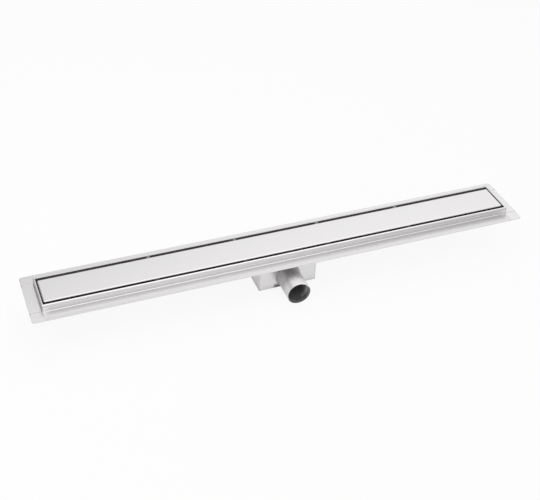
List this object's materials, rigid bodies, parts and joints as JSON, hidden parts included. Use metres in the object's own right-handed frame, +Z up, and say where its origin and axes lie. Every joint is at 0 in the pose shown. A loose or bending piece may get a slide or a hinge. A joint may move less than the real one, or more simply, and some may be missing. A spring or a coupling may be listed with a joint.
{
  "type": "linear shower drain",
  "caption": "Long folded stainless shower channel with a flush lift-out cover, flange all round, trap sump below and a round outlet stub to the side.",
  "frame": {"origin": "centre of the sump's flat underside, below the middle of the channel", "axes": "+X along the channel, -Y towards the outlet's mouth, +Z up"},
  "size_m": [0.85, 0.1335, 0.0735],
  "materials": {
    "brushed_stainless": "stainless sheet, fine brushed",
    "cover_stainless": "stainless cover, satin brushed lengthwise",
    "trap_plastic": "moulded plastic",
    "trap_rubber": "soft sealing rubber",
    "spacer_plastic": "grey moulded plastic"
  },
  "bodies": {
    "root": {"channel_body": "brushed_stainless", "cover_spacer_back_1": "spacer_plastic", "cover_spacer_back_2": "spacer_plastic", "cover_spacer_back_3": "spacer_plastic", "cover_spacer_back_4": "spacer_plastic", "cover_spacer_front_1": "spacer_plastic", "cover_spacer_front_2": "spacer_plastic", "cover_spacer_front_3": "spacer_plastic", "cover_spacer_front_4": "spacer_plastic", "cover_support_1": "brushed_stainless", "cover_support_2": "brushed_stainless", "cover_support_3": "brushed_stainless", "cover_support_4": "brushed_stainless", "cover_tray": "cover_stainless", "end_plate_left": "brushed_stainless", "end_plate_right": "brushed_stainless", "hair_strainer": "brushed_stainless", "outlet_pipe": "brushed_stainless", "sump_side_left": "brushed_stainless", "sump_side_right": "brushed_stainless", "sump_wrap": "brushed_stainless", "trap_bell": "trap_plastic", "trap_cup": "trap_plastic", "trap_seal": "trap_rubber"}
  },
  "joints": []
}
